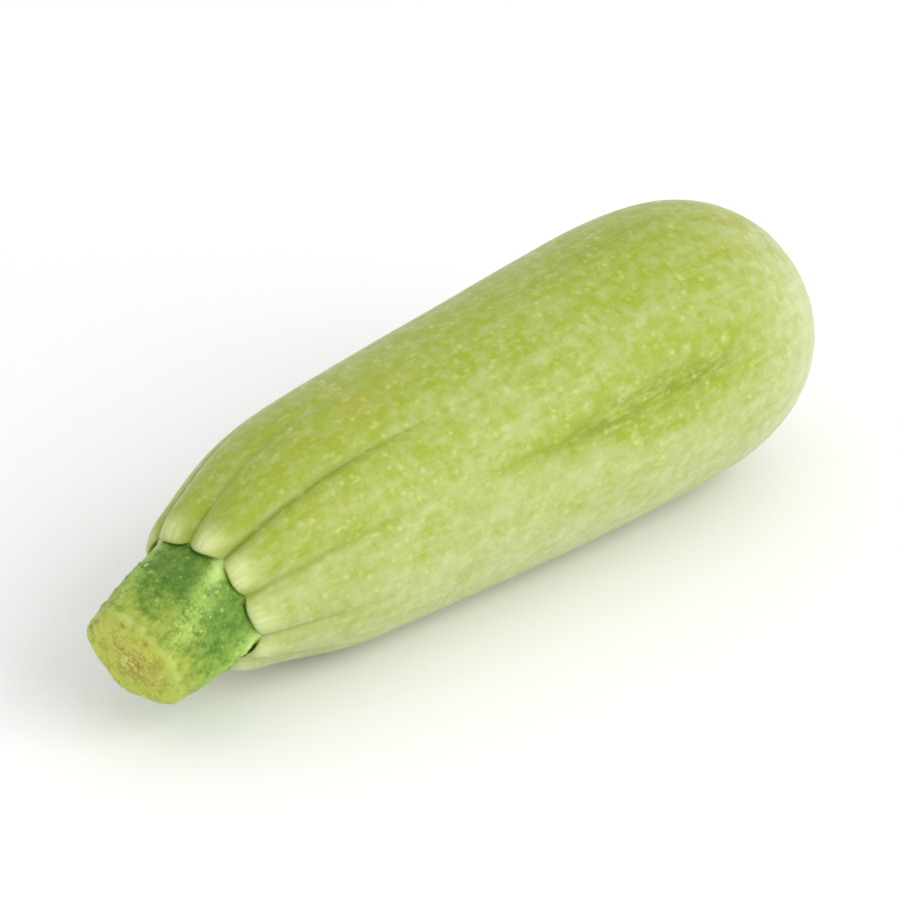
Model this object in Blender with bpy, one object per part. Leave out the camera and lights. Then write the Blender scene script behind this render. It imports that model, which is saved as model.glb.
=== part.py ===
"""A pale-green zucchini lying on its side: the fruit, and the cut stub of its stem.

Metres, +Z up, ground at z = 0. The stem points towards -X and the blossom end towards +X.
The fruit is a tube of rings round a gently bent centre line. A station is a distance along that
line, from the calyx, where the stem meets the fruit, to the blossom end. An angle goes round the
line, from +Y (0 degrees) over the top (90 degrees).
"""

import math

import bmesh
import bpy
import numpy as np

# The fruit's size
FRUIT_LENGTH = 0.1345
BELLY_RADIUS = 0.025
CALYX_RADIUS = 0.0197       # the belly's taper, carried on to the calyx
WIDEST_AT = 0.0985
TAPER_CURVE = 1.3           # 1 is a straight cone up to the widest station
SHOULDER_AT = 0.028         # where the belly starts to round over towards the stem
SHOULDER_SLACK = 1.72       # 1 rounds it like a quarter ellipse, more draws it out into a neck
DOME_FULLNESS = 2.83        # exponent of the blossom end, which is blunter than a ball

# How it lies
FLAT_DEPTH = 0.0006         # how much of the belly is pressed flat by its own weight
REST_AT = 0.062             # the middle of the flat spot
RISE = 0.0024               # how far the underside has risen RISE_SPAN away from there
RISE_SPAN = 0.060
NECK_DROP = 0.0027          # the neck sinks towards the stem, over its last NECK_DROP_SPAN
NECK_DROP_SPAN = 0.030
NECK_TURN = 0.0029          # and turns towards -Y, over its last NECK_TURN_SPAN
NECK_TURN_SPAN = 0.050

# Ten furrows run down from the calyx. Each has its angle at the calyx in degrees, its depth,
# and how far it reaches down the belly.
FURROWS = (
    (119.0, 0.00125, 0.040),
    (153.0, 0.00080, 0.030),
    (190.0, 0.00100, 0.020),
    (226.0, 0.00070, 0.024),
    (262.0, 0.00105, 0.030),
    (298.0, 0.00070, 0.022),
    (334.0, 0.00115, 0.034),
    (370.0, 0.00075, 0.024),
    (406.0, 0.00110, 0.032),
    (443.0, 0.00080, 0.026),
)
FURROW_FADE_FROM = 0.010    # the depth is full as far as this
FURROW_DRIFT = 4.0          # degrees that the furrows wind round, from the calyx to DRIFT_LENGTH
DRIFT_LENGTH = 0.060
FURROW_TRACE = 0.00010      # what is left of every furrow on the belly
FURROW_WIDE = 2.0           # exponents of a furrow's section: round-bottomed lobes at the calyx,
FURROW_THIN = 6.0           # thin creases from THIN_FROM on
THIN_FROM = 0.050
PUCKER = 0.00035            # the furrows deepen again round the blossom scar
PUCKER_RADIUS = 0.012
PUCKER_THIN = 3.0           # exponent of its section
PUCKER_INNER = 0.004        # inside this radius it fades out, and inside the next the furrows do
FURROW_INNER = 0.006
MOST_DIP = 0.8              # the most of a shoulder's rise that a furrow takes away
KNUCKLE_REACH = 0.0009      # how far each lobe comes forward over the stem, between furrows
KNUCKLE_SWELL = 0.0016      # how far its end swells, before it closes on the stem
KNUCKLE_LENGTH = 0.006

# The corky scar of the flower
SCAR_RADIUS = 0.0033
SCAR_RIM = 0.00030
SCAR_RIM_WIDTH = 0.0008
SCAR_DIMPLE = 0.00065
SCAR_DIMPLE_WIDTH = 0.0018

# The stem, measured from the calyx
STEM_LENGTH = 0.0195
STEM_RADIUS = 0.0109        # of its flat sides at the calyx
STEM_TIP_RADIUS = 0.0090
STEM_TAPER_CURVE = 2.2      # 1 is a straight cone, more keeps its girth for longer
RIB_HEIGHT = 0.11           # how far its five ribs stand out, as a share of the radius
RIB_SHARPNESS = 1.8
MINOR_RIB = 0.035           # the five small ridges on its flat sides, as a share of the radius
MINOR_RIB_WIDTH = 0.07      # as a share of the way from rib to rib
FOOT_FLARE = 0.0003
FOOT_LENGTH = 0.0035
STEM_TWIST = 36.0
STEM_BEND = 3.0
BEND_SIDEWAYS = 10.0        # degrees from straight down, towards -Y
CUT_SLANT = 0.10
CUT_EDGE = 0.0025           # radius of the worn edge round the cut
CUT_DISH = 0.0007           # how far the cut face has shrunk in

# The stem's root sits in a socket between the lobes.
ROOT_DEPTH = 0.0028
SOCKET_GAP = 0.00035

# Mesh fineness
PER_LOBE = 8
SCAR_RINGS = (0.0009, 0.0018, 0.0026, 0.0033, 0.0041)
DOME_RINGS = 13
DOME_FROM = 0.0053          # radius where the dome's own rings start
BELLY_RINGS = 12
SHOULDER_RINGS = 12
STEM_FOOT_RINGS = (0.0, 0.0008, 0.0018)
STEM_SIDE_FROM = 0.003
STEM_SIDE_RINGS = 9
CUT_EDGE_TURNS = (30.0, 60.0, 90.0)
CUT_FACE_SHARES = (0.85, 0.6, 0.3)
TANGENT_STEP = 1e-4

FRUIT_COLOUR = (0.50, 0.60, 0.20, 1.0)
FRUIT_ROUGHNESS = 0.42
STEM_COLOUR = (0.20, 0.38, 0.08, 1.0)
STEM_ROUGHNESS = 0.55

LOBES = len(FURROWS)
AROUND = LOBES * PER_LOBE


def ease(t):
    """0 to 1 along a smooth step."""
    t = np.clip(t, 0.0, 1.0)
    return t * t * (3.0 - 2.0 * t)


def belly_radius(station):
    """The fruit's mean radius without its rounded ends: it swells to the widest station and stays so."""
    left = max(1.0 - station / WIDEST_AT, 0.0)
    return CALYX_RADIUS + (BELLY_RADIUS - CALYX_RADIUS) * (1.0 - left**TAPER_CURVE)


def centre_line(station):
    """The point of the centre line at a station. The underside runs nearly level, and the neck sinks and turns."""
    lift = RISE * ((station - REST_AT) / RISE_SPAN) ** 2
    drop = NECK_DROP * max(1.0 - station / NECK_DROP_SPAN, 0.0) ** 2
    turn = NECK_TURN * max(1.0 - station / NECK_TURN_SPAN, 0.0) ** 2
    return np.array((station, -turn, belly_radius(station) - FLAT_DEPTH + lift - drop))


def fruit_frame(station):
    """Centre, forward, sideways and upward directions of the ring at a station."""
    forward = centre_line(station + TANGENT_STEP) - centre_line(station - TANGENT_STEP)
    forward /= np.linalg.norm(forward)
    side = np.cross((0.0, 0.0, 1.0), forward)
    side /= np.linalg.norm(side)
    return centre_line(station), forward, side, np.cross(forward, side)


def stem_frame(distance):
    """The same for the stem, whose line is straight in the socket and an arc outside it."""
    centre, forward, side, up = fruit_frame(0.0)
    ahead = -forward
    if distance <= 0.0:
        return centre + ahead * distance, ahead, side, up
    lean = math.radians(BEND_SIDEWAYS)
    inward = -up * math.cos(lean) - side * math.sin(lean)
    bend = math.radians(STEM_BEND) * distance / STEM_LENGTH
    arc_radius = STEM_LENGTH / math.radians(STEM_BEND)
    centre = centre + arc_radius * (ahead * math.sin(bend) + inward * (1.0 - math.cos(bend)))

    def turned(direction):
        """A direction turned with the arc, in the plane of ahead and inward."""
        a, b = direction @ ahead, direction @ inward
        rest = direction - a * ahead - b * inward
        return (
            rest
            + ahead * (a * math.cos(bend) - b * math.sin(bend))
            + inward * (a * math.sin(bend) + b * math.cos(bend))
        )

    return centre, turned(ahead), turned(side), turned(up)


def round_the_lobes():
    """For each point of a ring: its angle at the calyx, its lobe and the share of that lobe it has passed."""
    starts = np.array([f[0] for f in FURROWS] + [FURROWS[0][0] + 360.0])
    share = np.tile(np.arange(PER_LOBE) / PER_LOBE, LOBES)
    lobe = np.repeat(np.arange(LOBES), PER_LOBE)
    angle = starts[lobe] + share * (starts[lobe + 1] - starts[lobe])
    return np.radians(angle), lobe, share


ANGLE, LOBE, SHARE = round_the_lobes()
FURROW_BEFORE = LOBE
FURROW_AFTER = (LOBE + 1) % LOBES
NEAREST_FURROW = np.where(SHARE < 0.5, FURROW_BEFORE, FURROW_AFTER)
FURROW_DEPTH = np.array([f[1] for f in FURROWS])[NEAREST_FURROW]
FURROW_REACH = np.array([f[2] for f in FURROWS])[NEAREST_FURROW]
# 0 on the crest of a lobe, 1 in a furrow
OFF_CREST = np.abs(1.0 - 2.0 * SHARE)


def furrow_angle(station):
    """The points' angles at a station: the furrows wind slowly round the fruit."""
    return ANGLE + math.radians(FURROW_DRIFT) * min(max(station / DRIFT_LENGTH, 0.0), 1.0)


def furrow_dip(station):
    """How far each point lies in its furrow: round-bottomed lobes at the shoulder, thin creases on the belly."""
    sharpness = FURROW_WIDE + (FURROW_THIN - FURROW_WIDE) * ease(station / THIN_FROM)
    along = max(station - FURROW_FADE_FROM, 0.0) / FURROW_REACH
    depth = (FURROW_DEPTH - FURROW_TRACE) * np.exp(-along * along) + FURROW_TRACE
    return depth * OFF_CREST**sharpness


def stem_radius(distance):
    """The stem's radius round one ring: five rounded ribs that line up with the deep furrows, and small ridges."""
    share = max(distance, 0.0) / STEM_LENGTH
    flat = STEM_RADIUS + (STEM_TIP_RADIUS - STEM_RADIUS) * share**STEM_TAPER_CURVE
    round_pair = ((LOBE % 2) + SHARE) / 2.0
    rib = np.abs(np.cos(math.pi * round_pair)) ** RIB_SHARPNESS
    minor = np.exp(-(((round_pair - 0.5) / MINOR_RIB_WIDTH) ** 2))
    flare = FOOT_FLARE * math.exp(-max(distance, 0.0) / FOOT_LENGTH)
    return flat * (1.0 + RIB_HEIGHT * rib + MINOR_RIB * minor) + flare * rib


def stem_angle(distance):
    return ANGLE + math.radians(STEM_TWIST) * max(distance, 0.0) / STEM_LENGTH


def ring(frame, radius, angle, forward=0.0):
    """One ring of points in a frame's plane, each moved along the frame's direction by its own amount."""
    centre, ahead, side, up = frame
    radius, angle, forward = np.broadcast_arrays(radius, angle, forward)
    round_it = np.outer(np.cos(angle), side) + np.outer(np.sin(angle), up)
    return centre + radius[:, None] * round_it + forward[:, None] * ahead


def scar_relief(radius):
    """How far the skin at the blossom end stands out: a corky rim round a dimple."""
    rim = SCAR_RIM * np.exp(-(((radius - SCAR_RADIUS) / SCAR_RIM_WIDTH) ** 2))
    dimple = SCAR_DIMPLE * np.exp(-((radius / SCAR_DIMPLE_WIDTH) ** 2))
    return rim - dimple


def dome_rings():
    """Rings from the blossom scar back to the widest station."""
    spread = np.linspace(1.0, 0.0, DOME_RINGS + 1)[1:]
    dome = BELLY_RADIUS * np.cos(0.5 * math.pi * spread**2)
    rings = []
    for radius in np.concatenate((SCAR_RINGS, dome[dome > DOME_FROM])):
        height = (1.0 - (radius / BELLY_RADIUS) ** 2) ** (1.0 / DOME_FULLNESS)
        station = WIDEST_AT + (FRUIT_LENGTH - WIDEST_AT) * height
        pucker = PUCKER * math.exp(-((radius / PUCKER_RADIUS) ** 2))
        pucker *= min(radius / PUCKER_INNER, 1.0)
        dip = furrow_dip(station) + pucker * OFF_CREST**PUCKER_THIN
        dip *= min(radius / FURROW_INNER, 1.0)
        rings.append(
            ring(fruit_frame(station), radius - dip, furrow_angle(station), scar_relief(radius))
        )
    return rings


def belly_rings():
    """Rings from the widest station to the shoulder."""
    stations = np.linspace(WIDEST_AT, SHOULDER_AT, BELLY_RINGS + 1)[1:]
    return [
        ring(fruit_frame(s), belly_radius(s) - furrow_dip(s), furrow_angle(s)) for s in stations
    ]


def shoulder_rings():
    """Rings that round over from the shoulder to the socket's mouth, each lobe ending in a knuckle."""
    mouth = stem_radius(0.0) + SOCKET_GAP
    rings = []
    for turn in np.radians(np.linspace(0.0, 90.0, SHOULDER_RINGS + 1)[1:]):
        station = SHOULDER_AT * (1.0 - math.sin(turn))
        height = max(math.cos(turn), 0.0) ** SHOULDER_SLACK
        rise = (belly_radius(station) - mouth) * height
        dip = np.minimum(furrow_dip(station) * math.sqrt(height), MOST_DIP * rise)
        on_crest = 1.0 - OFF_CREST**2
        reach = KNUCKLE_REACH * on_crest * math.sin(turn) ** 2
        swell = KNUCKLE_SWELL * math.sqrt(height) * math.exp(-((station / KNUCKLE_LENGTH) ** 2))
        radius = mouth + rise - dip + swell * on_crest
        rings.append(ring(fruit_frame(station), radius, furrow_angle(station), -reach))
    return rings


def socket_rings():
    """Rings down the socket's wall and over its floor."""
    depth = ROOT_DEPTH + SOCKET_GAP
    wall = stem_radius(0.0) + SOCKET_GAP
    rings = [ring(stem_frame(-d), wall, ANGLE) for d in (0.5 * depth, depth)]
    rings.append(ring(stem_frame(-depth), 0.5 * wall, ANGLE))
    return rings


def stem_rings():
    """Rings from the stem's root to the worn edge of its cut, then over the cut face."""
    root = stem_radius(0.0)
    rings = [ring(stem_frame(-ROOT_DEPTH), share * root, ANGLE) for share in (0.5, 1.0)]
    rings.append(ring(stem_frame(-0.5 * ROOT_DEPTH), root, ANGLE))
    side = STEM_LENGTH - CUT_EDGE
    up_the_side = np.linspace(STEM_SIDE_FROM, side, STEM_SIDE_RINGS)
    for distance in np.concatenate((STEM_FOOT_RINGS, up_the_side)):
        slant = CUT_SLANT * ease(distance / STEM_LENGTH)
        rings.append(stem_ring(distance, stem_radius(distance), slant))
    for turn in np.radians(CUT_EDGE_TURNS):
        distance = side + CUT_EDGE * math.sin(turn)
        inset = CUT_EDGE * (1.0 - math.cos(turn))
        rings.append(stem_ring(distance, stem_radius(distance) - inset, CUT_SLANT))
    rim = stem_radius(STEM_LENGTH) - CUT_EDGE
    for share in CUT_FACE_SHARES:
        dish = CUT_DISH * (1.0 - share**2)
        rings.append(stem_ring(STEM_LENGTH - dish, share * rim, CUT_SLANT))
    return rings


def stem_ring(distance, radius, slant):
    """A ring of the stem, tilted so that its lower side lies further back."""
    angle = stem_angle(distance)
    return ring(stem_frame(distance), radius, angle, slant * radius * np.sin(angle))


def solid(name, rings, first_pole, last_pole, colour, roughness):
    """One closed object: the rings joined by quads, and a fan of triangles at each end."""
    mesh = bpy.data.meshes.new(name)
    shell = bmesh.new()
    loops = [[shell.verts.new(point) for point in points] for points in rings]
    for one, other in zip(loops, loops[1:]):
        for i in range(AROUND):
            j = (i + 1) % AROUND
            shell.faces.new((one[i], one[j], other[j], other[i]))
    for pole, loop in ((first_pole, loops[0]), (last_pole, loops[-1])):
        tip = shell.verts.new(pole)
        for i in range(AROUND):
            shell.faces.new((tip, loop[i], loop[(i + 1) % AROUND]))
    bmesh.ops.recalc_face_normals(shell, faces=shell.faces)
    shell.to_mesh(mesh)
    shell.free()
    mesh.shade_smooth()
    made = bpy.data.objects.new(name, mesh)
    bpy.context.scene.collection.objects.link(made)
    material = bpy.data.materials.new(name)
    material.use_nodes = True
    shader = material.node_tree.nodes["Principled BSDF"]
    shader.inputs["Base Color"].default_value = colour
    shader.inputs["Roughness"].default_value = roughness
    shader.inputs["Metallic"].default_value = 0.0
    mesh.materials.append(material)
    return made


def pressed_flat(rings):
    """The rings with everything under the ground brought up to it, which makes the flat spot."""
    points = np.array(rings)
    points[..., 2] = np.maximum(points[..., 2], 0.0)
    return points


def make_fruit():
    rings = pressed_flat(dome_rings() + belly_rings() + shoulder_rings() + socket_rings())
    centre, ahead, _, _ = fruit_frame(FRUIT_LENGTH)
    floor = stem_frame(-(ROOT_DEPTH + SOCKET_GAP))[0]
    tip = centre + ahead * scar_relief(0.0)
    return solid("fruit", rings, tip, floor, FRUIT_COLOUR, FRUIT_ROUGHNESS)


def make_stem():
    rings = stem_rings()
    tip = stem_frame(STEM_LENGTH - CUT_DISH)[0]
    root = stem_frame(-ROOT_DEPTH)[0]
    return solid("stem", rings, root, tip, STEM_COLOUR, STEM_ROUGHNESS)


def main():
    for old in list(bpy.data.objects):
        bpy.data.objects.remove(old)
    pieces = [make_fruit(), make_stem()]
    corners = np.array([v.co for piece in pieces for v in piece.data.vertices])
    middle = (corners.min(axis=0) + corners.max(axis=0)) / 2
    whole = bpy.data.objects.new("zucchini", None)
    bpy.context.scene.collection.objects.link(whole)
    whole.location = (-middle[0], -middle[1], 0.0)
    for piece in pieces:
        piece.parent = whole


main()
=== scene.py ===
"""How the zucchini looks: waxy pale-green skin with faint stripes and specks, a corky blossom scar, a cut stem.

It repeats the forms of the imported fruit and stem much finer, and stands for both. Metres, +Z up.
"""

import math

import bpy
import numpy as np
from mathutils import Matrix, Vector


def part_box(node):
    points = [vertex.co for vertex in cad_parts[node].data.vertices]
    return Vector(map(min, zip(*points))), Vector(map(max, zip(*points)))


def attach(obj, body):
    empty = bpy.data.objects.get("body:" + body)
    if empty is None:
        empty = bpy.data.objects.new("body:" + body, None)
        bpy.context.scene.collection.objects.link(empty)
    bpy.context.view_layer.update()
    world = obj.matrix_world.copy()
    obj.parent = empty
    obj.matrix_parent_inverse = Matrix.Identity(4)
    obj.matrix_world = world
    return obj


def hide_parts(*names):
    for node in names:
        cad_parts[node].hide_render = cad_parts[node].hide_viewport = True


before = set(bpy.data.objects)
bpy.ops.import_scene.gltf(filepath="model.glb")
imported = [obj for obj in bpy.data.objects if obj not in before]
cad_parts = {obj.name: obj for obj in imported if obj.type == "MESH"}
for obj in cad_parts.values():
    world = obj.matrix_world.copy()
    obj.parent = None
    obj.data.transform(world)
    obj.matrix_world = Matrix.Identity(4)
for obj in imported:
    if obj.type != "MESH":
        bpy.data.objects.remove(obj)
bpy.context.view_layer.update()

# The fruit's form. One fleshy body, thickest near the blossom end. Ten lobes run down it from the calyx, deep at
# the neck and only lines on the belly, and each ends in a knuckle that leans on the stem, pale partly with a
# painted highlight. A narrow spot is pressed flat where the fruit lies.
FRUIT_LENGTH, BELLY_RADIUS, CALYX_RADIUS = 0.1345, 0.025, 0.0197
WIDEST_AT, TAPER_CURVE, DOME_FULLNESS = 0.0985, 1.3, 2.83
SHOULDER_AT, SHOULDER_SLACK = 0.028, 1.72
FLAT_DEPTH, REST_AT, RISE, RISE_SPAN = 0.0006, 0.062, 0.0024, 0.060
NECK_DROP, NECK_DROP_SPAN, NECK_TURN, NECK_TURN_SPAN = 0.0027, 0.030, 0.0029, 0.050
TANGENT_STEP = 1e-4
# Each furrow's angle at the calyx in degrees, its depth and how far it reaches down the belly, and from where to
# where, and how strongly, a dark vein follows its line
FURROWS = np.array((
    (119, 0.00100, 0.028, 0.034, 0.070, 0.25), (153, 0.00056, 0.018, 0.036, 0.108, 1.00),
    (190, 0.00052, 0.012, 0.016, 0.060, 0.20), (226, 0.00052, 0.020, 0.054, 0.110, 0.40),
    (262, 0.00090, 0.028, 0.038, 0.094, 0.65), (298, 0.00060, 0.022, 0.046, 0.104, 0.55),
    (334, 0.00100, 0.032, 0.028, 0.086, 0.85), (370, 0.00065, 0.024, 0.022, 0.100, 0.90),
    (406, 0.00095, 0.030, 0.014, 0.066, 0.60), (443, 0.00045, 0.022, 0.056, 0.112, 0.55)))
LOBES = len(FURROWS)
FURROW_FADE_FROM, FURROW_DRIFT, DRIFT_LENGTH, FURROW_TRACE = 0.010, 4.0, 0.060, 0.00004
FURROW_WIDE, FURROW_THIN, THIN_FROM, VEIN_GROWTH, VEIN_FADE = 2.0, 5.0, 0.050, 0.045, 0.014
PUCKER, PUCKER_RADIUS, PUCKER_INNER, FURROW_INNER = 0.00035, 0.012, 0.004, 0.006
MOST_DIP, KNUCKLE_REACH, KNUCKLE_SWELL, KNUCKLE_LENGTH, KNUCKLE_ROUND = 0.8, 0.0014, 0.0017, 0.006, 0.28
GROOVE, GROOVE_WIDTH, GROOVE_FROM, COLUMN_CROWDING = 0.00010, 0.00080, 0.004, 0.75
# How pale each lobe's tip is, partly its own paler skin and partly a painted highlight, where along the lobe it is
# palest and how far that reaches
KNUCKLE_TIP_AND_HIGHLIGHT_TONES = np.array((1.0, 0.75, 0.8, 0.6, 0.7, 0.8, 0.6, 0.8, 0.7, 1.0))
KNUCKLE_TIP_AND_HIGHLIGHT_AT, KNUCKLE_TIP_AND_HIGHLIGHT_LENGTH = 0.0008, 0.0022
UPPER_GREEN, UPPER_GREEN_ANGLE = 0.36, 80.0      # how much greener the upper side is, and the angle where it is greenest
# How far the skin's low places lie under its high ones and its fine stripes stand out, how long both are, and how
# near to the blossom's pole and to the calyx they fade
UNEVEN, UNEVEN_LENGTH, STRIPES, STRIPE_LENGTH = 0.00016, 0.045, 0.00003, 0.060
SMOOTH_POLE, SMOOTH_CALYX = 0.010, 0.008
# The blossom's scar: its rim, its dimple, the cork between them and the small folds across the rim
RIM_HEIGHT, RIM_RADIUS, RIM_WIDTH, DIMPLE_DEPTH, DIMPLE_RADIUS = 0.00030, 0.0033, 0.0008, 0.00065, 0.0018
CORK_RADIUS, CORK_INNER, CORK_DEPTH, CORK_GRAIN = 0.0038, 0.001, 0.00010, 0.0016
FOLD_COUNT, FOLD_DEPTH, FOLD_RADIUS, FOLD_WIDTH, FOLD_WANDER = 23, 0.00005, 0.0036, 0.001, 0.004
FRUIT_COLUMNS, SHOULDER_RINGS, BELLY_RINGS, DOME_RINGS, SCAR_RINGS = 230, 96, 168, 92, 46
DOME_SHARE, POLE_RADIUS = 0.92, 0.00008
NO_DOME = 1.0      # stands for the distance from the blossom's pole where there is no dome yet
# The stem's sizes stand here because the fruit's mouth closes round it
STEM_LENGTH, STEM_RADIUS, STEM_TIP_RADIUS, STEM_TAPER_CURVE = 0.0195, 0.0109, 0.0090, 2.2
RIB_HEIGHT, RIB_SHARPNESS, MINOR_RIB, MINOR_RIB_WIDTH = 0.11, 1.8, 0.035, 0.07
FOOT_FLARE, FOOT_LENGTH, ROOT_DEPTH, LIP_GAP = 0.0003, 0.0035, 0.0028, 0.00004


def ease(t):
    """0 to 1 along a smooth step."""
    t = np.clip(t, 0.0, 1.0)
    return t * t * (3.0 - 2.0 * t)


def ripples(angle, along, seed, turns, length, count=9):
    """An uneven field of about -1 to 1: a sum of cosine waves, each with its own whole number of turns round the
    axis, so that it closes, its own length along it and its own phase."""
    draw = np.random.default_rng(seed)
    total = 0.0
    for _ in range(count):
        pitch = draw.normal() * 2.0 * math.pi / length
        total = total + np.cos(draw.integers(1, turns + 1) * angle + pitch * along + draw.uniform(0.0, 6.28))
    return total / math.sqrt(count)


def belly_radius(station):
    """Mean radius at a station: it swells from the calyx to the widest station, faster at first, and stays so."""
    left = np.maximum(1.0 - station / WIDEST_AT, 0.0)
    return CALYX_RADIUS + (BELLY_RADIUS - CALYX_RADIUS) * (1.0 - left**TAPER_CURVE)


def centre_line(station):
    """The radius above the ground, lifted at both ends by a parabola, less the neck's drop and its turn aside."""
    lift = RISE * ((station - REST_AT) / RISE_SPAN) ** 2
    drop = NECK_DROP * np.maximum(1.0 - station / NECK_DROP_SPAN, 0.0) ** 2
    turn = NECK_TURN * np.maximum(1.0 - station / NECK_TURN_SPAN, 0.0) ** 2
    return np.stack((station, -turn, belly_radius(station) - FLAT_DEPTH + lift - drop), -1)


def fruit_frames(station):
    """Centre, forward, sideways and upward directions of the ring at each station, from the line's tangent."""
    forward = centre_line(station + TANGENT_STEP) - centre_line(station - TANGENT_STEP)
    forward /= np.linalg.norm(forward, axis=-1, keepdims=True)
    side = np.cross((0.0, 0.0, 1.0), forward)
    side /= np.linalg.norm(side, axis=-1, keepdims=True)
    return centre_line(station), forward, side, np.cross(forward, side)


def columns(count):
    """Each column's angle at the calyx, the lobe it is in and the share of that lobe it has passed. The columns
    crowd together at the furrows, by a sine wave of the share."""
    passed = np.arange(count) * LOBES / count
    lobe = passed.astype(int)
    share = passed - lobe
    share = share - COLUMN_CROWDING * np.sin(2.0 * math.pi * share) / (2.0 * math.pi)
    starts = np.append(FURROWS[:, 0], FURROWS[0, 0] + 360.0)
    angle = starts[lobe] + share * (starts[lobe + 1] - starts[lobe])
    return np.radians(angle), lobe, share


def furrow_line(station, lobe, share):
    """How far the skin is from the nearest furrow's line, the furrow's strength there, 1 at the deepest one's
    start, falling as a bell curve down the belly, and the strength of its vein, which swells in and out."""
    nearest = np.where(share < 0.5, lobe, (lobe + 1) % LOBES)
    _, deep, reach, start, end, vein = FURROWS[nearest].T
    lobe_angle = np.radians(np.diff(np.append(FURROWS[:, 0], FURROWS[0, 0] + 360.0)))[lobe]
    away = np.minimum(share, 1.0 - share) * lobe_angle * belly_radius(station)
    along = np.maximum(station - FURROW_FADE_FROM, 0.0) / reach
    swelling = ease((station - start) / VEIN_GROWTH) * ease((end - station) / VEIN_FADE)
    return away, deep / FURROWS[:, 1].max() * np.exp(-along * along), vein * swelling


def furrow_section(station, lobe, share):
    """How far the skin lies in its furrow: a power of the distance from the lobe's crest, round at the shoulder
    and thin on the belly, times a depth that fades down the belly to a trace, and a thin groove at the bottom."""
    away, strength, _ = furrow_line(station, lobe, share)
    sharpness = FURROW_WIDE + (FURROW_THIN - FURROW_WIDE) * ease(station / THIN_FROM)
    depth = (FURROWS[:, 1].max() - FURROW_TRACE) * strength + FURROW_TRACE
    groove = GROOVE * strength * np.exp(-((away / GROOVE_WIDTH) ** 2)) * ease(station / GROOVE_FROM)
    return depth * np.abs(1.0 - 2.0 * share) ** sharpness + groove


def stem_radius(distance, lobe, share):
    """The stem's radius: it narrows towards the cut, with five rounded ribs over the deep furrows, a small ridge
    halfway between them, and a flare at the ribs' feet."""
    outside = np.maximum(distance, 0.0)
    flat = STEM_RADIUS + (STEM_TIP_RADIUS - STEM_RADIUS) * (outside / STEM_LENGTH) ** STEM_TAPER_CURVE
    pair = ((lobe % 2) + share) / 2.0
    rib = np.abs(np.cos(math.pi * pair)) ** RIB_SHARPNESS
    minor = np.exp(-(((pair - 0.5) / MINOR_RIB_WIDTH) ** 2))
    return flat * (1.0 + RIB_HEIGHT * rib + MINOR_RIB * minor) + FOOT_FLARE * np.exp(-outside / FOOT_LENGTH) * rib


def scar_relief(radius, angle):
    """How far the blossom end stands out: a corky rim round a dimple, rough all over, with small folds across."""
    rim = RIM_HEIGHT * np.exp(-(((radius - RIM_RADIUS) / RIM_WIDTH) ** 2))
    dimple = DIMPLE_DEPTH * np.exp(-((radius / DIMPLE_RADIUS) ** 2))
    cork = np.exp(-((radius / CORK_RADIUS) ** 6)) * np.minimum(radius / CORK_INNER, 1.0)
    rough = ripples(angle, radius, seed=11, turns=14, length=CORK_GRAIN, count=16)
    folds = np.cos(FOLD_COUNT * angle + 2.0 * ripples(angle, radius, seed=12, turns=4, length=FOLD_WANDER))
    folds = folds * np.exp(-(((radius - FOLD_RADIUS) / FOLD_WIDTH) ** 2))
    return rim - dimple - CORK_DEPTH * cork * (0.6 - 0.4 * rough) - FOLD_DEPTH * (1.0 + folds) * cork


def ring_points(frames, radius, angle, ahead):
    """Points at a radius and an angle round each ring's centre, moved along its forward direction."""
    centre, forward, side, up = (v[:, None, :] for v in frames)
    return (centre + radius[..., None] * (np.cos(angle)[..., None] * side + np.sin(angle)[..., None] * up)
            + ahead[..., None] * forward)


def closed_skin(name, grid, ends, fields):
    """One closed mesh: quads between rings of points, and a fan from each end's pole. A field is a value for each
    point of the grid, kept as an attribute, and a pole takes the mean of its ring."""
    rings, around = grid.shape[:2]
    index = np.arange(rings * around).reshape(rings, around)
    right = np.roll(index, -1, axis=1)
    quads = np.stack((index[:-1], right[:-1], right[1:], index[1:]), -1).reshape(-1, 4)
    first, last = rings * around, rings * around + 1
    fans = [(first, b, a) for a, b in zip(index[0], right[0])]
    fans += [(last, a, b) for a, b in zip(index[-1], right[-1])]
    mesh = bpy.data.meshes.new(name)
    points = np.concatenate((grid.reshape(-1, 3), ends))
    mesh.from_pydata(points.tolist(), [], quads.tolist() + [tuple(map(int, f)) for f in fans])
    mesh.shade_smooth()
    for label, value in fields.items():
        flat = value.reshape(rings * around, -1)
        whole = np.concatenate((flat, [flat[:around].mean(0)], [flat[-around:].mean(0)])).astype(np.float32)
        kind, slot = ("FLOAT", "value") if whole.shape[1] == 1 else ("FLOAT_VECTOR", "vector")
        mesh.attributes.new(label, kind, "POINT").data.foreach_set(slot, whole.ravel())
    made = bpy.data.objects.new(name, mesh)
    bpy.context.scene.collection.objects.link(made)
    return made


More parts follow.
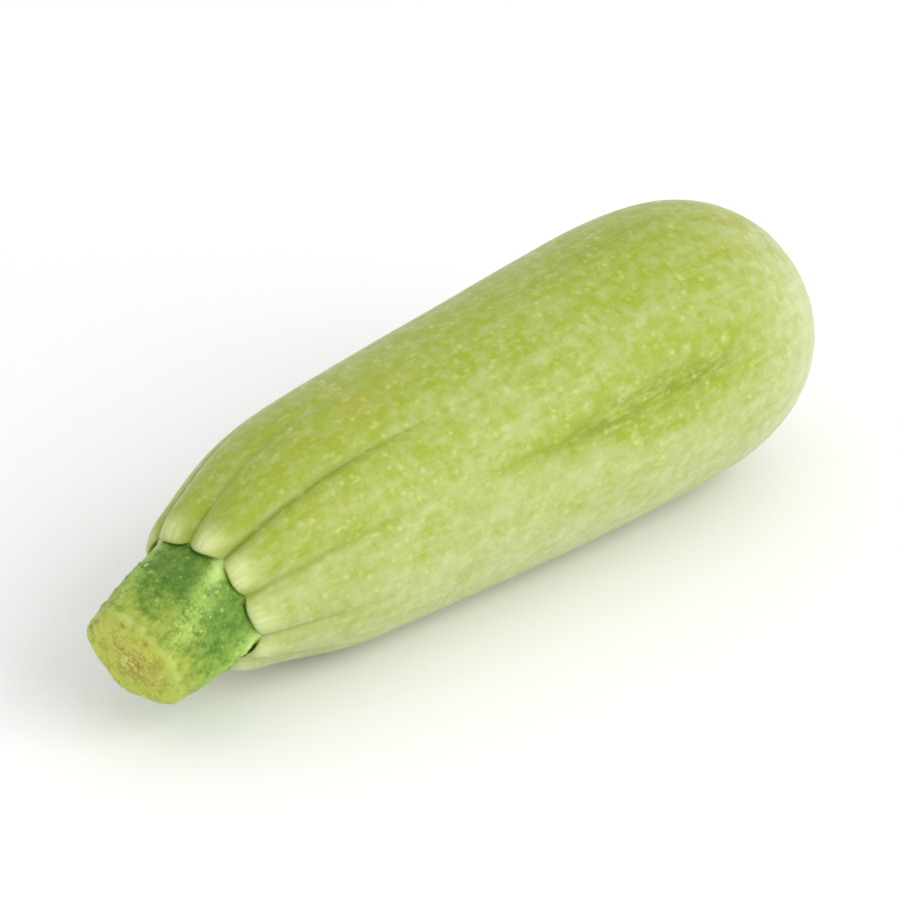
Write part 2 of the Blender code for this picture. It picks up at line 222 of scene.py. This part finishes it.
def fruit_rings():
    """Station, mean radius, height on the shoulder (1 beyond it), turn on the shoulder (0 beyond it) and distance
    from the blossom's pole, for the rings from the calyx to the pole. The dome is a superellipse."""
    turn = np.linspace(0.5 * math.pi, 0.0, SHOULDER_RINGS + 1)
    belly = np.linspace(SHOULDER_AT, WIDEST_AT, BELLY_RINGS + 1)[1:]
    spread = np.linspace(0.0, DOME_SHARE, DOME_RINGS + 1)[1:]
    wide = BELLY_RADIUS * np.cos(0.5 * math.pi * spread**2)
    dome = np.concatenate((wide, np.linspace(wide[-1], POLE_RADIUS, SCAR_RINGS + 1)[1:]))
    beyond = (1.0 - (dome / BELLY_RADIUS) ** 2) ** (1.0 / DOME_FULLNESS)
    dome_station = WIDEST_AT + (FRUIT_LENGTH - WIDEST_AT) * beyond
    station = np.concatenate((SHOULDER_AT * (1.0 - np.sin(turn)), belly, dome_station))
    before = np.full(len(turn) + len(belly), NO_DOME)
    radius = np.concatenate((belly_radius(station[:len(before)]), dome))
    height = np.concatenate((np.maximum(np.cos(turn), 0.0) ** SHOULDER_SLACK, belly * 0 + 1, dome * 0 + 1))
    turned = np.concatenate((turn, belly * 0, dome * 0))
    return [v[:, None] for v in (station, radius, height, turned, np.concatenate((before, dome)))]


def make_fruit():
    """The fruit's skin from the socket's floor over the lip, the shoulder and the belly to the blossom's pole. Its
    radius is the mean one, less the furrows and the pucker at the blossom, plus the knuckles' swelling."""
    calyx_angle, lobe, share = columns(FRUIT_COLUMNS)
    station, radius, height, turn, from_pole = fruit_rings()
    angle = calyx_angle + math.radians(FURROW_DRIFT) * np.clip(station / DRIFT_LENGTH, 0.0, 1.0)
    off_crest = np.abs(1.0 - 2.0 * share)
    mouth = stem_radius(0.0, lobe, share) + LIP_GAP
    rise = (radius - mouth) * height
    pucker = PUCKER * np.exp(-((from_pole / PUCKER_RADIUS) ** 2)) * np.minimum(from_pole / PUCKER_INNER, 1.0)
    dip = furrow_section(station, lobe, share) + pucker * off_crest**3
    dip = dip * np.minimum(from_pole / FURROW_INNER, 1.0)
    dip = np.where(turn > 0.0, np.minimum(dip * np.sqrt(height), MOST_DIP * rise), dip)
    on_crest = 1.0 - off_crest**2
    swell = KNUCKLE_SWELL * height**KNUCKLE_ROUND * np.exp(-((station / KNUCKLE_LENGTH) ** 2)) * on_crest
    grown = np.minimum(from_pole / SMOOTH_POLE, 1.0) * ease(station / SMOOTH_CALYX)
    uneven = UNEVEN * grown * (0.5 + 0.3 * ripples(angle, station, seed=3, turns=5, length=UNEVEN_LENGTH))
    fine = STRIPES * grown * ripples(angle, station, seed=4, turns=46, length=STRIPE_LENGTH, count=24)
    on_dome = from_pole < NO_DOME
    ahead = np.where(on_dome, scar_relief(from_pole, angle), -KNUCKLE_REACH * on_crest * np.sin(turn) ** 2)
    skin = ring_points(fruit_frames(station[:, 0]), mouth + rise - dip + swell - uneven + fine, angle, ahead)
    # The socket's rings, two on its floor and one on its wall, by shares of its depth and of its radius
    depth, width = np.array(((1.0, 1.0, 0.5), (0.5, 1.0, 1.0)))[..., None]
    centre, forward, side, up = (np.broadcast_to(v, (3, 3)) for v in fruit_frames(np.zeros(1)))
    socket_frames = centre + (ROOT_DEPTH + LIP_GAP) * depth * forward, forward, side, up
    socket = ring_points(socket_frames, mouth * width, calyx_angle + 0.0 * width, 0.0 * width)
    grid = np.concatenate((socket, skin))
    tip = grid[-1].mean(0)
    grid[..., 2] = np.maximum(grid[..., 2], 0.0)      # the flat spot

    def padded(field):
        """A field with the socket's three rings put in front, as the first ring has it."""
        field = np.broadcast_to(field, skin.shape[:2] + field.shape[2:])
        return np.concatenate((field[:1],) * 3 + (field,))

    grain = np.broadcast_arrays(BELLY_RADIUS * np.cos(angle), BELLY_RADIUS * np.sin(angle), station)
    away, furrow, vein = furrow_line(station, lobe, share)
    # Greener on the upper side and paler on the lower one
    upper_green = UPPER_GREEN * np.cos(angle - math.radians(UPPER_GREEN_ANGLE))
    # The knuckle tips' paleness: partly their own paler skin, partly a painted highlight
    tip_and_highlight = np.exp(-(((station - KNUCKLE_TIP_AND_HIGHLIGHT_AT) / KNUCKLE_TIP_AND_HIGHLIGHT_LENGTH) ** 2)) * on_crest**2
    fields = {
        "grain": padded(1000.0 * np.stack(grain, -1)),
        "away": padded(1000.0 * away),
        "furrow": padded(furrow),
        "vein": padded(vein),
        "green": padded(patches(GREENER, station, np.degrees(angle)) + upper_green),
        "tan": padded(patches(TANNED, station, np.degrees(angle))),
        "knuckle_tip_and_highlight": padded(tip_and_highlight * KNUCKLE_TIP_AND_HIGHLIGHT_TONES[lobe]),
        "scar": padded(1000.0 * from_pole + 0.0 * angle),
    }
    return closed_skin("fruit_skin", grid, [grid[0].mean(0), tip], fields)


# Where the skin is greener or, with a minus, paler than elsewhere, and where it is tinged with tan: the middle's
# angle in degrees, the half width in degrees, the middle's station, the half length and the strength
GREENER = (
    (80, 30, 0.018, 0.018, 0.20), (72, 34, 0.100, 0.020, 0.12), (157, 12, 0.090, 0.018, 0.60),
    (155, 7, 0.062, 0.016, 0.20), (98, 14, 0.100, 0.010, 0.16), (106, 12, 0.014, 0.016, 0.06),
    (106, 14, 0.060, 0.040, -0.06), (129, 11, 0.068, 0.022, -0.12), (138, 12, 0.012, 0.012, 0.10),
    (140, 20, 0.060, 0.050, 0.10), (88, 26, 0.052, 0.030, 0.14), (180, 26, 0.012, 0.016, 0.10),
    (165, 75, 0.127, 0.013, -0.56), (345, 80, 0.128, 0.012, -0.34), (20, 26, 0.086, 0.030, 0.16),
    (300, 26, 0.052, 0.028, 0.20), (335, 20, 0.100, 0.020, 0.22), (252, 26, 0.030, 0.030, -0.10))
TANNED = (
    (94, 14, 0.032, 0.012, 1.1), (134, 9, 0.017, 0.009, 0.45), (110, 16, 0.119, 0.010, 0.8),
    (20, 20, 0.050, 0.020, 0.6), (250, 20, 0.090, 0.020, 0.5))


def patches(table, station, degrees):
    """The sum of soft patches: each is a bell curve over the angle times one over the station."""
    total = 0.0
    for middle, half_angle, at, half_length, strength in table:
        away = (degrees - middle + 180.0) % 360.0 - 180.0
        total = total + strength * np.exp(-((away / half_angle) ** 2) - ((station - at) / half_length) ** 2)
    return total


fruit = make_fruit()
cad_low, cad_high = (np.array(v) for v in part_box("fruit"))
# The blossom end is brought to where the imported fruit's is, with the same shift for the stem
points = np.array([v.co for v in fruit.data.vertices])
aside = 0.5 * (cad_low + cad_high - points.min(0) - points.max(0))[1]
offset = np.array((cad_high[0] - points[:, 0].max(), aside, 0.0))
lip_room = np.array((KNUCKLE_REACH / 2.0, 0.0, 0.0))      # the knuckles lean out over the stem
fruit.data.vertices.foreach_set("co", np.clip(points + offset, cad_low - lip_room, cad_high).ravel())


# The fruit's skin. It is pale yellow-green with a satin wax, mottled and finely striped from stem to blossom, with
# pale raised specks, and darker along the furrows, there partly with painted shade. The blossom has left a tan,
# corky scar in a yellow halo.
class Flow:
    """An output socket of a material's nodes. Sums, products and powers of it become Math nodes."""

    def __init__(self, tree, socket=None):
        self.tree, self.socket = tree, socket

    def node(self, kind, settings=None, inputs=None, output=0):
        """A new node: its settings first, then a value or a link for each input. Gives one output."""
        made = self.tree.nodes.new(kind)
        for name, value in (settings or {}).items():
            setattr(made, name, value)
        for name, value in (inputs or {}).items():
            if isinstance(value, Flow):
                self.tree.links.new(value.socket, made.inputs[name])
            else:
                made.inputs[name].default_value = value
        return Flow(self.tree, made.outputs[output])

    def math(self, operation, *values):
        return self.node("ShaderNodeMath", {"operation": operation}, dict(enumerate(values)))

    def __add__(self, other):
        return self.math("ADD", self, other)

    def __sub__(self, other):
        return self.math("SUBTRACT", self, other)

    def __mul__(self, other):
        return self.math("MULTIPLY", self, other)

    def __truediv__(self, other):
        return self.math("DIVIDE", self, other)

    def __pow__(self, other):
        return self.math("POWER", self, other)

    def __radd__(self, other):
        return self.math("ADD", other, self)

    def __rsub__(self, other):
        return self.math("SUBTRACT", other, self)

    def __rmul__(self, other):
        return self.math("MULTIPLY", other, self)

    def __rpow__(self, other):
        return self.math("POWER", other, self)


def linear(red, green, blue):
    """A colour in linear light from its display values, 0 to 255."""
    share = np.array((red, green, blue)) / 255.0
    return (*np.where(share > 0.04045, ((share + 0.055) / 1.055) ** 2.4, share / 12.92).tolist(), 1.0)


def attribute(flow, name, output="Fac"):
    return flow.node("ShaderNodeAttribute", {"attribute_name": name}, output=output)


def millimetres(flow):
    """The place on the object, in millimetres."""
    place = flow.node("ShaderNodeTexCoord", output="Object")
    return flow.node("ShaderNodeVectorMath", {"operation": "SCALE"}, {0: place, "Scale": 1000.0})


def noise(flow, place, stretch, detail=2.0, roughness=0.5):
    """Noise of about 0 to 1 whose features are about stretch wide along each axis of place."""
    scaled = flow.node("ShaderNodeVectorMath", {"operation": "DIVIDE"}, {0: place, 1: stretch})
    return flow.node("ShaderNodeTexNoise", {"noise_dimensions": "3D"},
                     {"Vector": scaled, "Scale": 1.0, "Detail": detail, "Roughness": roughness})


def between(value, low, high, start=0.0, end=1.0):
    """A smooth step from start to end as value goes from low to high."""
    return value.node("ShaderNodeMapRange", {"interpolation_type": "SMOOTHSTEP"},
                      {"Value": value, "From Min": low, "From Max": high, "To Min": start, "To Max": end})


def specks(flow, place, cell, radius, kept):
    """Round specks in a 3D pattern of cells, in the share of the cells that is kept: 1 inside, 0 outside."""
    inputs = {"Vector": place, "Scale": 1.0 / cell, "Randomness": 1.0}
    distance = flow.node("ShaderNodeTexVoronoi", {}, inputs, "Distance")
    draw = flow.node("ShaderNodeSeparateColor", {}, {0: flow.node("ShaderNodeTexVoronoi", {}, inputs, "Color")})
    inside = between(distance, 0.30 * radius / cell, radius / cell, 1.0, 0.0)
    return inside * between(draw, kept - 0.05, kept, 1.0, 0.0)


def bell(value, width):
    """1 where value is 0, falling off as a bell curve of this width."""
    share = value / width
    return math.e ** (-1.0 * share * share)


def mixed(factor, first, second):
    return factor.node("ShaderNodeMix", {"data_type": "RGBA"}, {0: factor, 6: first, 7: second}, 2)


def clamped(value, low=0.0, high=1.0):
    return value.node("ShaderNodeClamp", {}, {"Value": value, "Min": low, "Max": high})


def fresh_material(name):
    """A material with one Principled shader, and the flow of its nodes."""
    material = bpy.data.materials.new(name)
    material.use_nodes = True
    return material, Flow(material.node_tree)


def finish_material(flow, colour, roughness, height, constants):
    """Links the colour, the roughness and the height of the relief, in metres, and sets the constants."""
    shader = flow.tree.nodes["Principled BSDF"]
    for label, value in constants.items():
        shader.inputs[label].default_value = value
    normal = flow.node("ShaderNodeBump", {}, {"Height": height, "Strength": 1.0, "Distance": 1.0}, "Normal")
    for label, value in (("Base Color", colour), ("Roughness", roughness), ("Normal", normal)):
        flow.tree.links.new(value.socket, shader.inputs[label])


# The skin between its patches and in them, its veins, tinges, creases darkened partly with painted shade, knuckles
# paled partly with a painted highlight, and specks, then the scar's parts
PALE, GREEN, DEEP = linear(187, 195, 142), linear(147, 163, 43), linear(120, 138, 28)
TAN, CREASE_TONE_AND_SHADE = linear(166, 156, 60), linear(118, 128, 28)
KNUCKLE_TIP_AND_HIGHLIGHT, SPECK = linear(212, 222, 156), linear(202, 211, 134)
HALO, CORK, CORK_DARK = linear(194, 182, 84), linear(200, 160, 84), linear(166, 120, 56)
PIT, SCAB = linear(132, 88, 40), linear(98, 88, 30)


def skin_material():
    """Pale to green in soft patches, then tan tinges, veins, creases darkened partly with painted shade, pale
    flecks and specks, and knuckles paled partly with a painted highlight, last the scar. The lines along the
    furrows are bell curves of the distance from them, roughened with noise."""
    material, flow = fresh_material("zucchini_skin")
    grain = attribute(flow, "grain", "Vector")
    place = millimetres(flow)
    stripe = noise(flow, grain, (1.4, 1.4, 12.0), 3.0, 0.6)
    wide = noise(flow, grain, (6.0, 6.0, 34.0), 1.0)
    blotch = noise(flow, place, (6.5, 6.5, 6.5), 2.0, 0.55)
    mottle = noise(flow, place, (2.2, 2.2, 2.2), 3.0, 0.60)
    dapple = noise(flow, grain, (1.5, 1.5, 2.4), 2.0, 0.6)
    tone = 0.53 + attribute(flow, "green") + 0.5 * (wide - 0.5) + 0.7 * (blotch - 0.5)
    tone = clamped(tone, 0.08, 0.90) + 0.50 * (stripe - 0.5) + 1.15 * (mottle - 0.5)
    colour = mixed(clamped(tone), PALE, GREEN)
    tinge = clamped(attribute(flow, "tan") * between(blotch + 0.5 * (mottle - 0.5), 0.40, 0.66))
    colour = mixed(0.55 * tinge, colour, TAN)
    away, furrow, vein, knuckle_tip_and_highlight = (attribute(flow, name) for name in ("away", "furrow", "vein", "knuckle_tip_and_highlight"))
    ragged = away + 0.9 * (mottle - 0.5)
    broken = between(noise(flow, grain, (1.4, 1.4, 5.0), 3.0, 0.6), 0.34, 0.60)
    line = 0.85 * bell(ragged, 0.50 + 2.6 * vein) + 0.10 * bell(ragged, 0.50 + 0.6 * vein)
    colour = mixed(clamped(vein) * broken * line, colour, DEEP)
    # Darker in the creases as deep as the furrow is: partly darker skin, partly painted shade
    crease_tone_and_shade = 0.34 * bell(ragged, 1.7) + (0.14 + 0.22 * broken) * bell(away, 0.50)
    colour = mixed(clamped(furrow ** 1.5 * crease_tone_and_shade), colour, CREASE_TONE_AND_SHADE)
    large, small = specks(flow, place, 2.3, 0.72, 0.60), specks(flow, place, 1.2, 0.26, 0.5)
    flecks = between(dapple, 0.52, 0.78) * between(blotch, 0.30, 0.60)
    colour = mixed(clamped(0.40 * flecks + 0.30 * large + 0.14 * small), colour, SPECK)
    # Pale knuckle tips: partly paler skin, partly a painted highlight
    colour = mixed(clamped(knuckle_tip_and_highlight * (0.60 + 0.40 * broken)), colour, KNUCKLE_TIP_AND_HIGHLIGHT)
    grit = noise(flow, place, (0.45, 0.45, 0.45), 3.0, 0.65)
    ray = noise(flow, grain, (2.6, 2.6, 4.0), 1.0)
    edge = attribute(flow, "scar") + 1.6 * (ray - 0.5) + 1.4 * (grit - 0.5)
    cork, pit = between(edge, 2.7, 4.2, 1.0, 0.0), between(edge, 0.5, 1.7, 1.0, 0.0)
    colour = mixed(0.75 * between(edge, 2.5, 9.0, 1.0, 0.0), colour, HALO)
    bark = mixed(between(grit, 0.34, 0.66), CORK_DARK, CORK)
    scabs = between(noise(flow, place, (0.8, 0.8, 0.8), 2.0, 0.5), 0.52, 0.62)
    bark = mixed(0.8 * bell(edge - 3.4, 0.7) * scabs, bark, SCAB)
    colour = mixed(cork, colour, mixed(0.8 * pit, bark, PIT))
    roughness = clamped(0.35 + 0.25 * (mottle - 0.5) + 0.10 * furrow * bell(away, 0.6) + 0.42 * cork)
    height = 0.00003 * (stripe - 0.5) + 0.00003 * large + 0.00003 * (mottle - 0.5)
    height = height + 0.00012 * cork * (grit - 0.5) - 0.00006 * furrow * bell(away, 0.40)
    finish_material(flow, colour, roughness, height, {
        "Subsurface Weight": 0.12, "Subsurface Radius": (0.0030, 0.0036, 0.0012), "Subsurface Scale": 1.0,
        "IOR": 1.42, "Specular IOR Level": 0.38})
    return material


fruit.data.materials.append(skin_material())
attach(fruit, "root")
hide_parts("fruit")

# The stem. A short stub with five rounded ribs that run out over the fruit's deep furrows. Its skin is finely
# ridged and rough with pale warts, where prickles stood, and the knife has left a slanting face, worn at its edge.
STEM_TWIST, STEM_BEND, BEND_SIDEWAYS = 36.0, 3.0, 10.0
CUT_SLANT, CUT_EDGE, CUT_DISH, SIDE_WEAR, FACE_WEAR = 0.10, 0.0036, 0.0007, 0.00044, 0.00036
RIDGE_DEPTH, RIDGE_LENGTH, LUMP_LENGTH, ROUGH_FROM = 0.00005, 0.030, 0.012, 0.0006
# The small warts and the larger worn knobs: how many there are and their least and largest size, and between what
# distances from the calyx they stand
WART_HEIGHT, WARTS, KNOBS = 0.00026, (330, 0.00014, 0.00046), (46, 0.0006, 0.0014)
WARTS_FROM, WARTS_TO, LEAST_WART = 0.0008, 0.0185, 0.3
# The vessels' bundles stand round the cut, at a share of its radius, under the ribs and the ridges between them
BUNDLE_HEIGHT, BUNDLES_AT, BUNDLE_LENGTH, BUNDLE_WIDTH = 0.00010, 0.74, 0.09, 0.12
BRUISE_AT, BRUISE_SIZE = (-0.15, 0.35), 0.65      # where the cut is tinged brown, in shares of its radius
STEM_COLUMNS, FACE_RINGS, EDGE_RINGS, SIDE_RINGS, FIRST_RING = 360, 40, 22, 104, 0.03


def stem_frames(distance):
    """Centre, forward, sideways and upward directions at distances from the calyx: straight in the socket, and
    outside it along an arc that bends down and a little aside."""
    centre, forward, side, up = (v[0] for v in fruit_frames(np.zeros(1)))
    lean = math.radians(BEND_SIDEWAYS)
    ahead, inward = -forward, -up * math.cos(lean) - side * math.sin(lean)
    arc_radius = STEM_LENGTH / math.radians(STEM_BEND)
    bend = np.maximum(distance, 0.0)[:, None] / arc_radius
    centre = centre + ahead * (arc_radius * np.sin(bend) + np.minimum(distance, 0.0)[:, None])
    centre = centre + inward * arc_radius * (1.0 - np.cos(bend))

    def turned(direction):
        """A direction turned along the arc, in the plane of ahead and inward."""
        a, b = direction @ ahead, direction @ inward
        return (direction - a * ahead - b * inward + ahead * (a * np.cos(bend) - b * np.sin(bend))
                + inward * (a * np.sin(bend) + b * np.cos(bend)))

    return centre, turned(ahead), turned(side), turned(up)


def wart_field(angle, distance, count, smallest, largest):
    """Round bumps, 1 at their tops: bell curves at seeded places on the unrolled side, each of its own size."""
    draw = np.random.default_rng(count)
    total = np.zeros(np.broadcast_shapes(angle.shape, distance.shape))
    for _ in range(count):
        at, along = draw.uniform(0.0, 6.2832), draw.uniform(WARTS_FROM, WARTS_TO)
        size, top = draw.uniform(smallest, largest), draw.uniform(LEAST_WART, 1.0)
        round_it = STEM_RADIUS * ((angle - at + math.pi) % (2.0 * math.pi) - math.pi)
        total = np.maximum(total, top * np.exp(-(round_it**2 + (0.8 * (distance - along)) ** 2) / size**2))
    return total


def make_stem():
    """The stem from the pole of its cut face, over the worn edge and down its side, to its root in the socket. Its
    face slants and is slightly dished, and its relief stands out sideways on the side and forward on the face."""
    calyx_angle, lobe, share = columns(STEM_COLUMNS)
    face = np.linspace(FIRST_RING, 1.0, FACE_RINGS)[:-1]
    edge = np.linspace(0.5 * math.pi, 0.0, EDGE_RINGS)
    side = np.linspace(STEM_LENGTH - CUT_EDGE, 0.0, SIDE_RINGS)[1:]
    root = np.array((-0.4, -1.0, -1.0)) * ROOT_DEPTH
    dish, bevel = CUT_DISH * (1.0 - face**2), CUT_EDGE * (1.0 - np.sin(edge))
    distance = np.concatenate((STEM_LENGTH - dish, STEM_LENGTH - bevel, side, root))[:, None]
    part = np.concatenate((face, np.ones(len(edge) + len(side) + 2), [0.5]))[:, None]
    inset = np.concatenate((face * 0 + CUT_EDGE, CUT_EDGE * (1.0 - np.cos(edge)), side * 0, root * 0))[:, None]
    on_side = np.concatenate((face * 0, 1.0 - np.sin(edge), side * 0 + 1.0, root * 0 + 1.0))[:, None]
    on_face = 1.0 - on_side
    outside = np.concatenate((face * 0 + 1, edge * 0 + 1, ease(side / ROUGH_FROM), root * 0))[:, None]
    at = np.where(part < 1.0, STEM_LENGTH, distance)
    at = np.where(distance < 0.0, 0.0, at)
    angle = calyx_angle + math.radians(STEM_TWIST) * np.maximum(distance, 0.0) / STEM_LENGTH
    pair = ((lobe % 2) + share) / 2.0
    rib = np.abs(np.cos(math.pi * pair)) ** RIB_SHARPNESS
    wart = wart_field(angle, distance, *WARTS) * (0.45 + 0.55 * rib) * on_side * outside
    knob = wart_field(angle, distance, *KNOBS)
    ridge = ripples(calyx_angle, distance, seed=31, turns=40, length=RIDGE_LENGTH, count=30)
    lumps = ripples(calyx_angle, distance, seed=33, turns=9, length=LUMP_LENGTH, count=16)
    relief = RIDGE_DEPTH * (ridge - 1.0) + SIDE_WEAR * (0.3 * lumps + 0.8 * knob - 1.0) + WART_HEIGHT * wart
    relief = relief * on_side * outside
    hollows = ripples(calyx_angle, part, seed=32, turns=12, length=0.9, count=20)
    scratches = ripples(calyx_angle, part, seed=34, turns=40, length=0.2, count=20)
    worn = 0.5 + 0.3 * hollows + 0.16 * scratches
    relief = relief - FACE_WEAR * on_face * outside * worn * np.minimum(part * 2, 1)
    radius = part * (stem_radius(at, lobe, share) - inset) + relief * on_side
    off_rib = np.abs(pair * 2 % 1 - 0.5) - 0.5
    bundle = np.exp(-((part - BUNDLES_AT) / BUNDLE_LENGTH) ** 2) * np.exp(-(off_rib / BUNDLE_WIDTH) ** 2) * on_face
    ahead = relief * on_face + BUNDLE_HEIGHT * bundle
    slant = CUT_SLANT * ease(distance / STEM_LENGTH)
    grid = ring_points(stem_frames(distance[:, 0]), radius, angle, slant * radius * np.sin(angle) + ahead)
    wide = np.broadcast_to(part, radius.shape)
    across, upright = STEM_RADIUS * wide * np.cos(angle), STEM_RADIUS * wide * np.sin(angle)
    off_bruise = (part * np.cos(calyx_angle) - BRUISE_AT[0]) ** 2
    off_bruise = off_bruise + (part * np.sin(calyx_angle) - BRUISE_AT[1]) ** 2
    fields = {
        "grain": 1000.0 * np.stack((across, upright, distance + 0 * wide), -1),
        "wart": wart,
        "rib": rib + 0.0 * wart,
        "ridge": ridge + 0.0 * wart,
        "cut": on_face + 0.0 * wart,
        "share": wide,
        "bundle": bundle,
        "bruise": np.exp(-off_bruise / BRUISE_SIZE**2) * on_face,
        "reach": np.clip(distance / STEM_LENGTH, 0.0, 1.0) + 0.0 * wart,
    }
    return closed_skin("stem_skin", grid, [grid[0].mean(0), grid[-1].mean(0)], fields)


stem = make_stem()
cad_low, cad_high = (np.array(v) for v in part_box("stem"))
points = np.array([v.co for v in stem.data.vertices])
stem.data.vertices.foreach_set("co", np.clip(points + offset, cad_low, cad_high).ravel())

# The side between its patches and in them, its ribs, their feet, pale partly with a painted highlight, its warts
# and its end, then the cut's parts
LEAF, LEAF_PALE, RIB_PALE = linear(72, 112, 20), linear(124, 160, 48), linear(146, 180, 74)
RIB_FOOT_PALE_AND_HIGHLIGHT, WART, TIP_YELLOW = linear(196, 222, 132), linear(172, 198, 104), linear(170, 180, 68)
FACE, PITH, DRY = linear(186, 194, 82), linear(200, 204, 110), linear(164, 140, 52)
RIM, RIM_LINE = linear(194, 202, 132), linear(122, 104, 40)


def stem_material():
    """Mottled green, paler below, on ribs, ridges and warts, with thin pale lines, partly a painted highlight, on
    the ribs' crests at the calyx, and yellower towards the cut, whose dried face has a paler middle, brown tinges,
    a pale rim and a thin brown line inside the rim."""
    material, flow = fresh_material("zucchini_stem")
    grain = attribute(flow, "grain", "Vector")
    place = millimetres(flow)
    wart, rib, ridge, cut, share, bundle, reach, bruise = (
        attribute(flow, name) for name in ("wart", "rib", "ridge", "cut", "share", "bundle", "reach", "bruise"))
    fibre = noise(flow, grain, (0.8, 0.8, 3.6), 3.0, 0.6)
    blotch = noise(flow, place, (2.4, 2.4, 2.4), 3.0, 0.6)
    cloud = noise(flow, place, (4.0, 4.0, 4.0), 1.0, 0.5)
    fine = noise(flow, place, (0.6, 0.6, 0.6), 3.0, 0.6)
    upward = flow.node("ShaderNodeSeparateXYZ", {}, {0: grain}, "Y")
    tone = 0.46 - 0.034 * upward + 0.9 * (fibre - 0.5) + 1.6 * (blotch - 0.5)
    tone = tone + 0.9 * (fine - 0.5) + 0.06 * ridge
    colour = mixed(clamped(tone), LEAF, LEAF_PALE)
    crest = rib ** 4.0 * between(blotch + 0.6 * (fine - 0.5), 0.32, 0.58, 0.2, 1.0)
    colour = mixed(clamped(0.90 * crest), colour, RIB_PALE)
    # Thin pale lines on the ribs' crests at the calyx: partly paler skin, partly a painted highlight
    colour = mixed(0.8 * rib ** 14.0 * between(reach, 0.05, 0.32, 1.0, 0.0), colour, RIB_FOOT_PALE_AND_HIGHLIGHT)
    dots = specks(flow, place, 1.5, 0.42, 0.6)
    colour = mixed(clamped(0.85 * between(wart, 0.20, 0.75) + 0.35 * dots), colour, WART)
    colour = mixed(0.8 * between(reach + 0.8 * (blotch - 0.5), 0.44, 0.96), colour, TIP_YELLOW)
    face = mixed(between(share + 0.3 * (fine - 0.5), 0.10, 0.60), PITH, FACE)
    face = mixed(0.6 * between(blotch + 0.4 * (fine - 0.5), 0.48, 0.66), face, LEAF_PALE)
    brown = 0.25 * bundle + 1.3 * bruise * between(blotch + 0.5 * (fine - 0.5), 0.34, 0.62)
    face = mixed(clamped(brown), face, DRY)
    colour = mixed(between(cut + 1.1 * (cloud - 0.5) + 0.6 * (blotch - 0.5), 0.15, 0.90), colour, face)
    colour = mixed(0.32 * bell(cut - 0.32, 0.20) * between(blotch, 0.38, 0.52), colour, RIM)
    rim_line = bell(cut + 0.3 * (fine - 0.5) - 0.66, 0.09)
    colour = mixed(0.65 * rim_line * between(cloud, 0.50, 0.62), colour, RIM_LINE)
    roughness = clamped(0.55 + 0.3 * (fine - 0.5) + 0.15 * cut)
    height = 0.00006 * (fibre - 0.5) + 0.00010 * (fine - 0.5) + 0.00004 * dots
    finish_material(flow, colour, roughness, height, {
        "Subsurface Weight": 0.10, "Subsurface Radius": (0.0015, 0.0020, 0.0006), "Subsurface Scale": 1.0,
        "Specular IOR Level": 0.35})
    return material


stem.data.materials.append(stem_material())
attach(stem, "root")
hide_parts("stem")

# The set. A plain white table and a white surround light the fruit evenly, a large soft lamp in front of it
# models its form, and the camera looks down on it from beyond the stem.
FLOOR_HALF, FLOOR_DEPTH = 4.0, 0.00002      # the floor lies just under the part
PAPER, SURROUND = 0.91, 0.90      # how white the floor is and how bright the surround
LAMP_AT, LAMP_WIDTH, LAMP_WATTS = (0.25, -1.15, 0.80), 1.1, 11.5
AZIMUTH, ELEVATION, DISTANCE, LENS = math.radians(-42.34), math.radians(30.0), 0.88, 208.0
AIM = Vector((0.0, 0.0, 0.0238))
corners = [(x * FLOOR_HALF, y * FLOOR_HALF, -FLOOR_DEPTH) for x, y in ((-1, -1), (1, -1), (1, 1), (-1, 1))]
floor_mesh = bpy.data.meshes.new("floor")
floor_mesh.from_pydata(corners, [], [(0, 1, 2, 3)])
floor = bpy.data.objects.new("floor", floor_mesh)
bpy.context.scene.collection.objects.link(floor)
paper = bpy.data.materials.new("paper")
paper.use_nodes = True
shader = paper.node_tree.nodes["Principled BSDF"]
shader.inputs["Base Color"].default_value = (PAPER, PAPER, PAPER, 1.0)
shader.inputs["Roughness"].default_value = 0.9
shader.inputs["Specular IOR Level"].default_value = 0.2
floor_mesh.materials.append(paper)

world = bpy.data.worlds.new("surround")
world.use_nodes = True
background = world.node_tree.nodes["Background"]
background.inputs["Color"].default_value = (1.0, 1.0, 1.0, 1.0)
background.inputs["Strength"].default_value = SURROUND
bpy.context.scene.world = world
bpy.context.scene.view_settings.view_transform = "Standard"


def facing(name, data, place, target):
    """A lamp or a camera at a place, turned to look at the target."""
    made = bpy.data.objects.new(name, data)
    made.location = place
    made.rotation_mode = "QUATERNION"
    made.rotation_quaternion = (made.location - target).to_track_quat("Z", "Y")
    bpy.context.scene.collection.objects.link(made)
    return made


light = bpy.data.lights.new("key", "AREA")
light.shape, light.size, light.energy = "SQUARE", LAMP_WIDTH, LAMP_WATTS
facing("key", light, LAMP_AT, Vector((0.0, 0.0, 0.0)))

camera_data = bpy.data.cameras.new("camera")
camera_data.lens = LENS
level = math.cos(ELEVATION)
back = Vector((math.sin(AZIMUTH) * level, -math.cos(AZIMUTH) * level, math.sin(ELEVATION)))
bpy.context.scene.camera = facing("camera", camera_data, AIM + DISTANCE * back, AIM)
